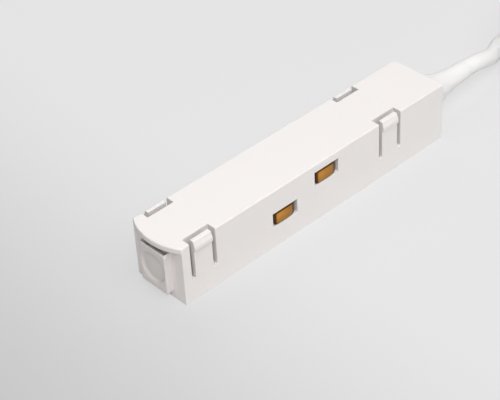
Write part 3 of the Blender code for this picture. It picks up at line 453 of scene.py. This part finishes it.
def round_edges(piece, width):
    """Joins the piece's split corners, clears its flat faces of seams and rounds its edges."""
    joined = piece.modifiers.new("joined", "WELD")
    joined.merge_threshold = SAME_PLACE
    flat = piece.modifiers.new("flat", "DECIMATE")
    flat.decimate_type = "DISSOLVE"
    flat.angle_limit = FLAT_WITHIN
    short = piece.modifiers.new("short", "WELD")
    short.merge_threshold = SHORT_EDGE
    rounded = piece.modifiers.new("rounded", "BEVEL")
    rounded.width = width
    rounded.segments = EDGE_SEGMENTS
    rounded.limit_method = "ANGLE"
    rounded.angle_limit = EDGE_ANGLE
    rounded.use_clamp_overlap = False
    even = piece.modifiers.new("even", "WEIGHTED_NORMAL")
    even.weight = FACE_WEIGHT
    even.keep_sharp = False


def finish_node(name, finish):
    """Gives one of the frame's own pieces a finish of this scene."""
    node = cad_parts[name]
    for slot in node.material_slots:
        slot.material = finish
    return node


def paint_shade_in_corners(finish, reach, share):
    """Paints shade into deep corners and slots: darkens the colour where the piece's own surfaces close
    in round a point.
    """
    tree = finish.node_tree
    hollow = tree.nodes.new("ShaderNodeAmbientOcclusion")
    hollow.samples = HOLLOW_SAMPLES
    hollow.only_local = True
    hollow.inputs["Distance"].default_value = reach
    painted_shade = tree.nodes.new("ShaderNodeMix")
    painted_shade.data_type = "RGBA"
    painted_shade.blend_type = "MULTIPLY"
    painted_shade.inputs["Factor"].default_value = share
    tree.links.new(tree.nodes["Mix"].outputs["Result"], painted_shade.inputs["A"])
    tree.links.new(hollow.outputs["Color"], painted_shade.inputs["B"])
    tree.links.new(painted_shade.outputs["Result"], tree.nodes["Principled BSDF"].inputs["Base Color"])


def shade_smooth(piece):
    """Shades a piece smooth by a modifier, so that its own mesh stays as it came."""
    group = bpy.data.node_groups.new("smooth_shading", "GeometryNodeTree")
    for way in ("INPUT", "OUTPUT"):
        group.interface.new_socket("Geometry", in_out=way, socket_type="NodeSocketGeometry")
    came_in = group.nodes.new("NodeGroupInput")
    smooth = group.nodes.new("GeometryNodeSetShadeSmooth")
    goes_out = group.nodes.new("NodeGroupOutput")
    group.links.new(came_in.outputs[0], smooth.inputs[0])
    group.links.new(smooth.outputs[0], goes_out.inputs[0])
    piece.modifiers.new("smooth", "NODES").node_group = group


housing_plastic = coat(
    "housing_plastic", PLASTIC_COLOUR, roughness=0.5, drift=0.012, drift_size=9 * MM
)
# Painted shade: the housing's colour is darkened by up to 0.3 in its own corners, slots and under its
# lip.
paint_shade_in_corners(housing_plastic, CORNER_REACH, CORNER_PAINTED_SHADE)
plastic_shader = housing_plastic.node_tree.nodes["Principled BSDF"]
plastic_shader.inputs["Subsurface Weight"].default_value = PLASTIC_GLOW
plastic_shader.inputs["Subsurface Radius"].default_value = PLASTIC_GLOW_TINT
plastic_shader.inputs["Subsurface Scale"].default_value = PLASTIC_GLOW_DEPTH
plastic_shader.inputs["Specular IOR Level"].default_value = PLASTIC_SHINE
housing = finish_node("housing", housing_plastic)
shade_smooth(housing)
round_edges(housing, EDGE_ROUND)

# Base cover: a flat plate of the same plastic with six snap tabs, pressed in from below.
# Its tongue closes the slot under the boot.
round_edges(finish_node("base_cover", housing_plastic), EDGE_ROUND)

# End plug: a square blanking plug of softer white plastic with a shallow round dish in its face.
# It is pressed into the front wall, which its neck and barbs grip from inside.
PLUG_AT = Vector((-52.175, 0, 9.35)) * MM
PLUG_COLOUR = (0.845, 0.8, 0.77)
PLUG_HALF_WIDTH = 5.4 * MM
PLUG_HALF_HEIGHT = 6.9 * MM
PLUG_REACH = 2.5 * MM
PLUG_CORNER = 0.45 * MM
PLUG_EDGE = 0.25 * MM
PLUG_EDGE_STEPS = 3
PLUG_GAP = 0.02 * MM
PLUG_RIM = 0.35 * MM
RECESS_HALF_WIDTH = 4.7 * MM
RECESS_DEPTH = 2.2 * MM
NECK_HALF_WIDTH = 3.9 * MM
NECK_HALF_HEIGHT = 5.4 * MM
NECK_LENGTH = 1.9 * MM
BARB = 1.0 * MM
DISH_PROFILE = (
    (0.0, 5.1),
    (0.042, 4.98),
    (0.14, 4.85),
    (0.56, 4.45),
    (0.672, 4.28),
    (0.7, 4.1),
    (0.5425, 2.94),
    (0.4025, 1.47),
    (0.35, 0.21),
)
RECESS_RINGS = (4, 6)
RECESS_PAINTED_SHADE = 0.7

plug_face = -PLUG_REACH
plug_rings = [
    (NECK_LENGTH + BARB, NECK_HALF_WIDTH + BARB / 3, NECK_HALF_HEIGHT + BARB / 3),
    (NECK_LENGTH, NECK_HALF_WIDTH + BARB, NECK_HALF_HEIGHT + BARB),
    (NECK_LENGTH, NECK_HALF_WIDTH, NECK_HALF_HEIGHT),
    (-PLUG_GAP, NECK_HALF_WIDTH, NECK_HALF_HEIGHT),
    (-PLUG_GAP, PLUG_HALF_WIDTH, PLUG_HALF_HEIGHT),
    (PLUG_RIM - PLUG_REACH, PLUG_HALF_WIDTH, PLUG_HALF_HEIGHT),
    (PLUG_RIM - PLUG_REACH, PLUG_HALF_WIDTH, PLUG_HALF_HEIGHT),
]
for step in range(PLUG_EDGE_STEPS + 1):
    round_by = math.radians(90 * step / PLUG_EDGE_STEPS)
    inset = PLUG_EDGE * (1 - math.cos(round_by))
    forward = plug_face + PLUG_EDGE * (1 - math.sin(round_by))
    plug_rings.append((forward, PLUG_HALF_WIDTH - inset, PLUG_HALF_HEIGHT - inset))
rings = [
    [PLUG_AT + Vector((x, *squared(a, half_width, half_height, PLUG_CORNER))) for a in spokes]
    for x, half_width, half_height in plug_rings
]
for ring in rings[RECESS_RINGS[0] : RECESS_RINGS[1]]:
    for point in ring:
        if point.z > PLUG_AT.z and abs(point.y) < RECESS_HALF_WIDTH:
            point.z -= RECESS_DEPTH
for depth, radius in DISH_PROFILE:
    on_axis = PLUG_AT + Vector((plug_face + depth * MM, 0, 0))
    ring = [Vector((0, math.cos(a), math.sin(a))) * radius * MM for a in spokes]
    rings.append([on_axis + point for point in ring])
plug_plastic = coat("plug_plastic", PLUG_COLOUR, roughness=0.55, drift=0.012, drift_size=5 * MM)
# Painted shade: the plug's colour is darkened by up to 0.7 in its recess and dish.
paint_shade_in_corners(plug_plastic, CORNER_REACH, RECESS_PAINTED_SHADE)
plug = skin("square_plug", rings, plug_plastic)
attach(plug, "feed")
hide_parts("end_plug")

# Contacts: two leaves stamped from brass strip, with their edges rolled in so that they slide along
# the track's conductors. Each is bent back behind its window to a root held in the carrier.
LEAF_SPOTS = {
    "lower": (Vector((-13.275, -10.1, 9.7)) * MM, "lower_leaf"),
    "upper": (Vector((3.725, -10.1, 14.9)) * MM, "upper_leaf"),
}
LEAF_BENDS = (
    (-4.5, 1.5),
    (-4.41, 0.75),
    (-3.94, 0.09),
    (-1.47, -0.1),
    (1.4, -0.08),
    (3.0, 0.1),
    (3.95, 0.5),
    (4.35, 1.1),
    (4.7, 1.8),
    (5.5, 2.4),
    (6.5, 2.75),
    (7.15, 3.5),
    (7.3, 4.3),
    (7.3, 5.0),
    (7.3, 9.0),
)
LEAF_WIDTH = 4.5 * MM
LEAF_THICKNESS = 0.3 * MM
LEAF_CORNER = 0.9 * MM
LEAF_ROLL = 0.7 * MM
LEAF_ROLL_DEPTH = 0.38 * MM
LEAF_BOW = 0.06 * MM
ROOT_WIDTH = 2.2 * MM
NECK_FROM = 2.4 * MM
NECK_TO = 3.3 * MM
FLAT_SHARES = (0.0, 0.35, 0.7, 0.9)
ROLL_TURNS = (15, 35, 60, 80, 90)
ROLL_LOST_AT_ROOT = 0.95
BEND_STEPS = 5
BRASS_COLOUR = (0.507, 0.234, 0.043)
EDGE_SHADE_COLOUR = (0.1, 0.04, 0.012)
FULL_SHADE_FROM = -0.965
NO_SHADE_FROM = -0.998
ROLLING_STRETCH = (0.06, 0.06, 1.0)
HIGHLIGHT_AT = (0.17, 0, 0.68)
HIGHLIGHT_REACH = (0.8, 9, 1.1)
HIGHLIGHT_GAIN = (0.7, 1.4)

brass = coat(
    "brass_strip", BRASS_COLOUR, roughness=0.3, drift=0.14, drift_size=2.2 * MM, grain=0.12 * MM
)
brass_tree = brass.node_tree
brass_shader = brass_tree.nodes["Principled BSDF"]
brass_shader.inputs["Metallic"].default_value = 1.0
brass_where = brass_tree.nodes["Texture Coordinate"]
rolled = brass_tree.nodes.new("ShaderNodeMapping")
rolled.inputs["Scale"].default_value = ROLLING_STRETCH
brass_tree.links.new(brass_where.outputs["Object"], rolled.inputs[0])
brass_tree.links.new(rolled.outputs[0], brass_tree.nodes["Noise Texture.001"].inputs["Vector"])
# Painted shade and reflection: where a leaf's rolled edges turn away from the side, its colour is mixed
# towards a dark brown that stands in for the shade and dark reflections in the gap round the window.
turned = brass_tree.nodes.new("ShaderNodeSeparateXYZ")
brass_tree.links.new(brass_where.outputs["Normal"], turned.inputs[0])
edge_unshaded = spread(brass_tree, turned.outputs["Y"], 0.0, 1.0, FULL_SHADE_FROM, NO_SHADE_FROM)
edge_unshaded.interpolation_type = "SMOOTHSTEP"
edge_shaded = brass_tree.nodes.new("ShaderNodeMix")
edge_shaded.data_type = "RGBA"
edge_shaded.inputs["A"].default_value = (*EDGE_SHADE_COLOUR, 1)
brass_tree.links.new(edge_unshaded.outputs["Result"], edge_shaded.inputs["Factor"])
brass_tree.links.new(brass_tree.nodes["Mix"].outputs["Result"], edge_shaded.inputs["B"])
# Painted highlight: a soft bright patch towards the upper front of each leaf, where the brass colour is
# scaled up to 1.4 times, falling to 0.7 times away from it.
highlight_place = brass_tree.nodes.new("ShaderNodeMapping")
highlight_place.vector_type = "TEXTURE"
highlight_place.inputs["Location"].default_value = HIGHLIGHT_AT
highlight_place.inputs["Scale"].default_value = HIGHLIGHT_REACH
brass_tree.links.new(brass_where.outputs["Generated"], highlight_place.inputs[0])
from_highlight = brass_tree.nodes.new("ShaderNodeTexGradient")
from_highlight.gradient_type = "QUADRATIC_SPHERE"
brass_tree.links.new(highlight_place.outputs[0], from_highlight.inputs[0])
highlight_gain = spread(brass_tree, from_highlight.outputs["Fac"], *HIGHLIGHT_GAIN)
highlighted = brass_tree.nodes.new("ShaderNodeVectorMath")
highlighted.operation = "SCALE"
brass_tree.links.new(edge_shaded.outputs["Result"], highlighted.inputs[0])
brass_tree.links.new(highlight_gain.outputs["Result"], highlighted.inputs["Scale"])
brass_tree.links.new(highlighted.outputs[0], brass_shader.inputs["Base Color"])
leaf_line = smooth_through([Vector((x, y, 0)) * MM for x, y in LEAF_BENDS], BEND_STEPS)
for which, (window, body) in LEAF_SPOTS.items():
    rows = []
    for i, point in enumerate(leaf_line):
        forward = leaf_line[min(i + 1, len(leaf_line) - 1)] - leaf_line[max(i - 1, 0)]
        inward = Vector((-forward.y, forward.x, 0)).normalized()
        from_front = min(LEAF_CORNER, max(0.0, point.x - leaf_line[0].x))
        corner = LEAF_CORNER - math.sqrt(LEAF_CORNER**2 - (LEAF_CORNER - from_front) ** 2)
        necking = min(1.0, max(0.0, (point.y - NECK_FROM) / (NECK_TO - NECK_FROM)))
        half = LEAF_WIDTH / 2 - corner + (ROOT_WIDTH - LEAF_WIDTH) / 2 * necking
        roll = LEAF_ROLL * (1 - ROLL_LOST_AT_ROOT * necking)
        section = []
        for share in FLAT_SHARES:
            flat = (half - roll) * share
            section.append((flat, LEAF_BOW * (1 - necking) * (flat / half) ** 2))
        rim = section[-1][1]
        for turn in ROLL_TURNS:
            bend = math.radians(turn)
            deep = LEAF_ROLL_DEPTH / LEAF_ROLL * roll * (1 - math.cos(bend))
            section.append((half - roll + roll * math.sin(bend), rim + deep))
        section.append((half, section[-1][1] + roll / 3))
        both = [(-up, deep) for up, deep in reversed(section[1:])] + section
        rows.append([window + point + inward * deep + Vector((0, 0, up)) for up, deep in both])
    form = bmesh.new()
    corners = [[form.verts.new(p) for p in row] for row in rows]
    for near, far in zip(corners, corners[1:]):
        for i in range(len(near) - 1):
            form.faces.new((near[i], near[i + 1], far[i + 1], far[i]))
    leaf_mesh = bpy.data.meshes.new(which + "_leaf_strip")
    form.to_mesh(leaf_mesh)
    form.free()
    leaf_mesh.shade_smooth()
    leaf_mesh.materials.append(brass)
    leaf = bpy.data.objects.new(which + "_leaf_strip", leaf_mesh)
    bpy.context.scene.collection.objects.link(leaf)
    sheet_thickness = leaf.modifiers.new("sheet", "SOLIDIFY")
    sheet_thickness.thickness = LEAF_THICKNESS
    sheet_thickness.offset = 1.0
    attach(leaf, body)
    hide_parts(which + "_contact")

# Carrier and clamp: grey glass-filled nylon mouldings. The carrier stands behind the windows on two
# screwed lugs, and the clamp bar presses the lead against a rib of the housing.
CARRIER_COLOUR = (0.72, 0.72, 0.71)
CARRIER_EDGE = 0.1 * MM
carrier_nylon = coat("carrier_nylon", CARRIER_COLOUR, roughness=0.5, drift=0.03, grain=0.4 * MM)
for name in ("contact_carrier", "cable_clamp"):
    round_edges(finish_node(name, carrier_nylon), CARRIER_EDGE)

# Screws: four pan-head steel screws, zinc plated, driven up from below into the housing's bosses.
# Two hold the carrier by its lugs, and two pull the clamp bar on to the lead.
ZINC_COLOUR = (0.62, 0.62, 0.64)
zinc = coat(
    "zinc_plate", ZINC_COLOUR, roughness=0.32, drift=0.08, drift_size=1.5 * MM, grain=0.1 * MM
)
zinc.node_tree.nodes["Principled BSDF"].inputs["Metallic"].default_value = 1.0
for name in ("carrier_screw_front", "carrier_screw_rear", "clamp_screw_left", "clamp_screw_right"):
    finish_node(name, zinc)

# Inner cores: the same two cores inside the housing, from the lead's inner end to the contacts, with
# a shrunk sleeve over each soldered joint.
CORE_EDGE = 0.06 * MM
for colour, vinyl in core_vinyls.items():
    for name in (colour + "_core", colour + "_sleeve"):
        round_edges(finish_node(name, vinyl), CORE_EDGE)
finish_node("lead_inner_end", lead_finish)

# Boot: a tapered strain relief of soft white PVC, moulded on the lead. Its flange sits inside the
# rear wall and its neck passes through it.
BOOT_WALL_FACE = 55.025 * MM
BOOT_HEIGHT = 10 * MM
BOOT_LENGTH = 22 * MM
BOOT_BORE = 2.9 * MM
BOOT_SEAT = 0.3 * MM
BOOT_INSIDE = (
    (-3.5, 2.9),
    (-3.5, 5.25),
    (-3.35, 5.4),
    (-2.05, 5.4),
    (-1.9, 5.25),
    (-1.9, 4.0),
    (0.3, 4.0),
)
BOOT_BASE = 7.7 * MM
BOOT_TIP = 3.15 * MM
BOOT_HOLLOW = 2.4
BOOT_STEPS = 26
BOOT_LIP = 0.25 * MM
BOOT_FLARE_LENGTH = 9 * MM
BOOT_FLARE_RISE = 0.9 * MM

boot_profile = [(along * MM, radius * MM) for along, radius in BOOT_INSIDE]
boot_profile.append((BOOT_SEAT, BOOT_BASE - BOOT_LIP))
for step in range(BOOT_STEPS + 1):
    share = step / BOOT_STEPS
    radius = BOOT_TIP + (BOOT_BASE - BOOT_TIP) * (1 - share) ** BOOT_HOLLOW
    along = BOOT_SEAT + BOOT_LIP + share * (BOOT_LENGTH - BOOT_SEAT - 2 * BOOT_LIP)
    boot_profile.append((along, radius))
boot_profile += [(BOOT_LENGTH, BOOT_TIP - BOOT_LIP / 2), (BOOT_LENGTH, BOOT_BORE)]
boot_axis = Vector((BOOT_WALL_FACE, 0, BOOT_HEIGHT))
boot_rings = []
for along, radius in boot_profile:
    flare = max(0.0, 1 - along / BOOT_FLARE_LENGTH) ** 2 if along > 0 else 0.0
    middle = boot_axis + Vector((along, 0, BOOT_FLARE_RISE * flare))
    boot_rings.append(
        [middle + Vector((0, radius * math.cos(a), radius * math.sin(a))) for a in spokes]
    )
boot = skin("tapered_boot", boot_rings, lead_finish, closed_ends=False)
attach(boot, "feed")
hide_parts("cable_boot")

# Table and light: a pale plain table that falls off into shade on the left, in a dim grey studio. One
# large soft lamp stands over the contacts' side, a small one at the plugged end and a weak one behind.
TABLE_COLOUR = (0.841, 0.84, 0.8405)
TABLE_HALF = 3.0
TABLE_ROUGHNESS = 0.9
TABLE_PALENESS = 0.75
TABLE_BOUNCE = 0.8
TABLE_DIM_AT = -140 * MM
TABLE_DIMMING = 0.7
STUDIO_LIGHT = 0.14
LAMP_FROM = Vector((0.0, -0.49, 0.87))
LAMP_DISTANCE = 1.3
LAMP_SIDE = 1.1
LAMP_WATTS = 12.0
FILL_FROM = Vector((-0.5, -0.45, 0.7))
FILL_SIDE = 0.35
FILL_WATTS = 5.1
BACK_FROM = Vector((0.35, 0.6, 0.72))
BACK_SIDE = 0.7
BACK_WATTS = 3.1


def seen_directly(tree):
    """One for a ray from the camera, or one that gloss or glass sends on, and nothing for the rest."""
    rays = tree.nodes.new("ShaderNodeLightPath")
    found = rays.outputs["Is Camera Ray"]
    for kind in ("Is Glossy Ray", "Is Transmission Ray"):
        either = tree.nodes.new("ShaderNodeMath")
        either.operation = "MAXIMUM"
        tree.links.new(found, either.inputs[0])
        tree.links.new(rays.outputs[kind], either.inputs[1])
        found = either.outputs[0]
    return found


table_finish = bpy.data.materials.new("table_finish")
table_finish.use_nodes = True
table_tree = table_finish.node_tree
table_shader = table_tree.nodes["Principled BSDF"]
table_shader.inputs["Roughness"].default_value = TABLE_ROUGHNESS
table_shader.inputs["Specular IOR Level"].default_value = 0.0
table_where = table_tree.nodes.new("ShaderNodeTexCoord")
table_parts = table_tree.nodes.new("ShaderNodeSeparateXYZ")
table_tree.links.new(table_where.outputs["Object"], table_parts.inputs[0])
table_fall = spread(table_tree, table_parts.outputs["X"], TABLE_DIMMING, 1.0, TABLE_DIM_AT, 0.0)
table_fall.interpolation_type = "SMOOTHSTEP"
table_tint = table_tree.nodes.new("ShaderNodeVectorMath")
table_tint.operation = "SCALE"
table_tint.inputs[0].default_value = TABLE_COLOUR
table_tree.links.new(table_fall.outputs["Result"], table_tint.inputs["Scale"])
table_dull = table_tree.nodes.new("ShaderNodeVectorMath")
table_dull.operation = "SCALE"
table_dull.inputs["Scale"].default_value = TABLE_BOUNCE
table_tree.links.new(table_tint.outputs[0], table_dull.inputs[0])
table_tree.links.new(table_dull.outputs[0], table_shader.inputs["Base Color"])
table_pale = table_tree.nodes.new("ShaderNodeEmission")
table_tree.links.new(table_tint.outputs[0], table_pale.inputs["Color"])
paleness = table_tree.nodes.new("ShaderNodeMath")
paleness.operation = "MULTIPLY"
paleness.inputs[1].default_value = TABLE_PALENESS
table_tree.links.new(seen_directly(table_tree), paleness.inputs[0])
table_blend = table_tree.nodes.new("ShaderNodeMixShader")
table_tree.links.new(paleness.outputs[0], table_blend.inputs[0])
table_tree.links.new(table_shader.outputs[0], table_blend.inputs[1])
table_tree.links.new(table_pale.outputs[0], table_blend.inputs[2])
table_tree.links.new(table_blend.outputs[0], table_tree.nodes["Material Output"].inputs["Surface"])
table_mesh = bpy.data.meshes.new("table")
table_form = bmesh.new()
bmesh.ops.create_grid(table_form, x_segments=1, y_segments=1, size=TABLE_HALF)
table_form.to_mesh(table_mesh)
table_form.free()
table_mesh.materials.append(table_finish)
table = bpy.data.objects.new("table", table_mesh)
bpy.context.scene.collection.objects.link(table)

studio = bpy.data.worlds.new("studio")
bpy.context.scene.world = studio
studio.use_nodes = True
studio_tree = studio.node_tree
lit = studio_tree.nodes["Background"]
lit.inputs["Color"].default_value = (*TABLE_COLOUR, 1)
lit.inputs["Strength"].default_value = STUDIO_LIGHT
seen = studio_tree.nodes.new("ShaderNodeBackground")
seen.inputs["Color"].default_value = (*TABLE_COLOUR, 1)
choice = studio_tree.nodes.new("ShaderNodeMixShader")
studio_tree.links.new(seen_directly(studio_tree), choice.inputs[0])
studio_tree.links.new(lit.outputs[0], choice.inputs[1])
studio_tree.links.new(seen.outputs[0], choice.inputs[2])
studio_tree.links.new(choice.outputs[0], studio_tree.nodes["World Output"].inputs["Surface"])

for name, lamp_from, side, watts in (
    ("soft_lamp", LAMP_FROM, LAMP_SIDE, LAMP_WATTS),
    ("front_fill", FILL_FROM, FILL_SIDE, FILL_WATTS),
    ("back_fill", BACK_FROM, BACK_SIDE, BACK_WATTS),
):
    lamp_data = bpy.data.lights.new(name, "AREA")
    lamp_data.shape = "SQUARE"
    lamp_data.size = side
    lamp_data.energy = watts
    lamp = bpy.data.objects.new(name, lamp_data)
    lamp_way = lamp_from.normalized()
    lamp.location = lamp_way * LAMP_DISTANCE
    lamp.rotation_euler = lamp_way.to_track_quat("Z", "Y").to_euler()
    bpy.context.scene.collection.objects.link(lamp)
bpy.context.scene.view_settings.view_transform = "Standard"
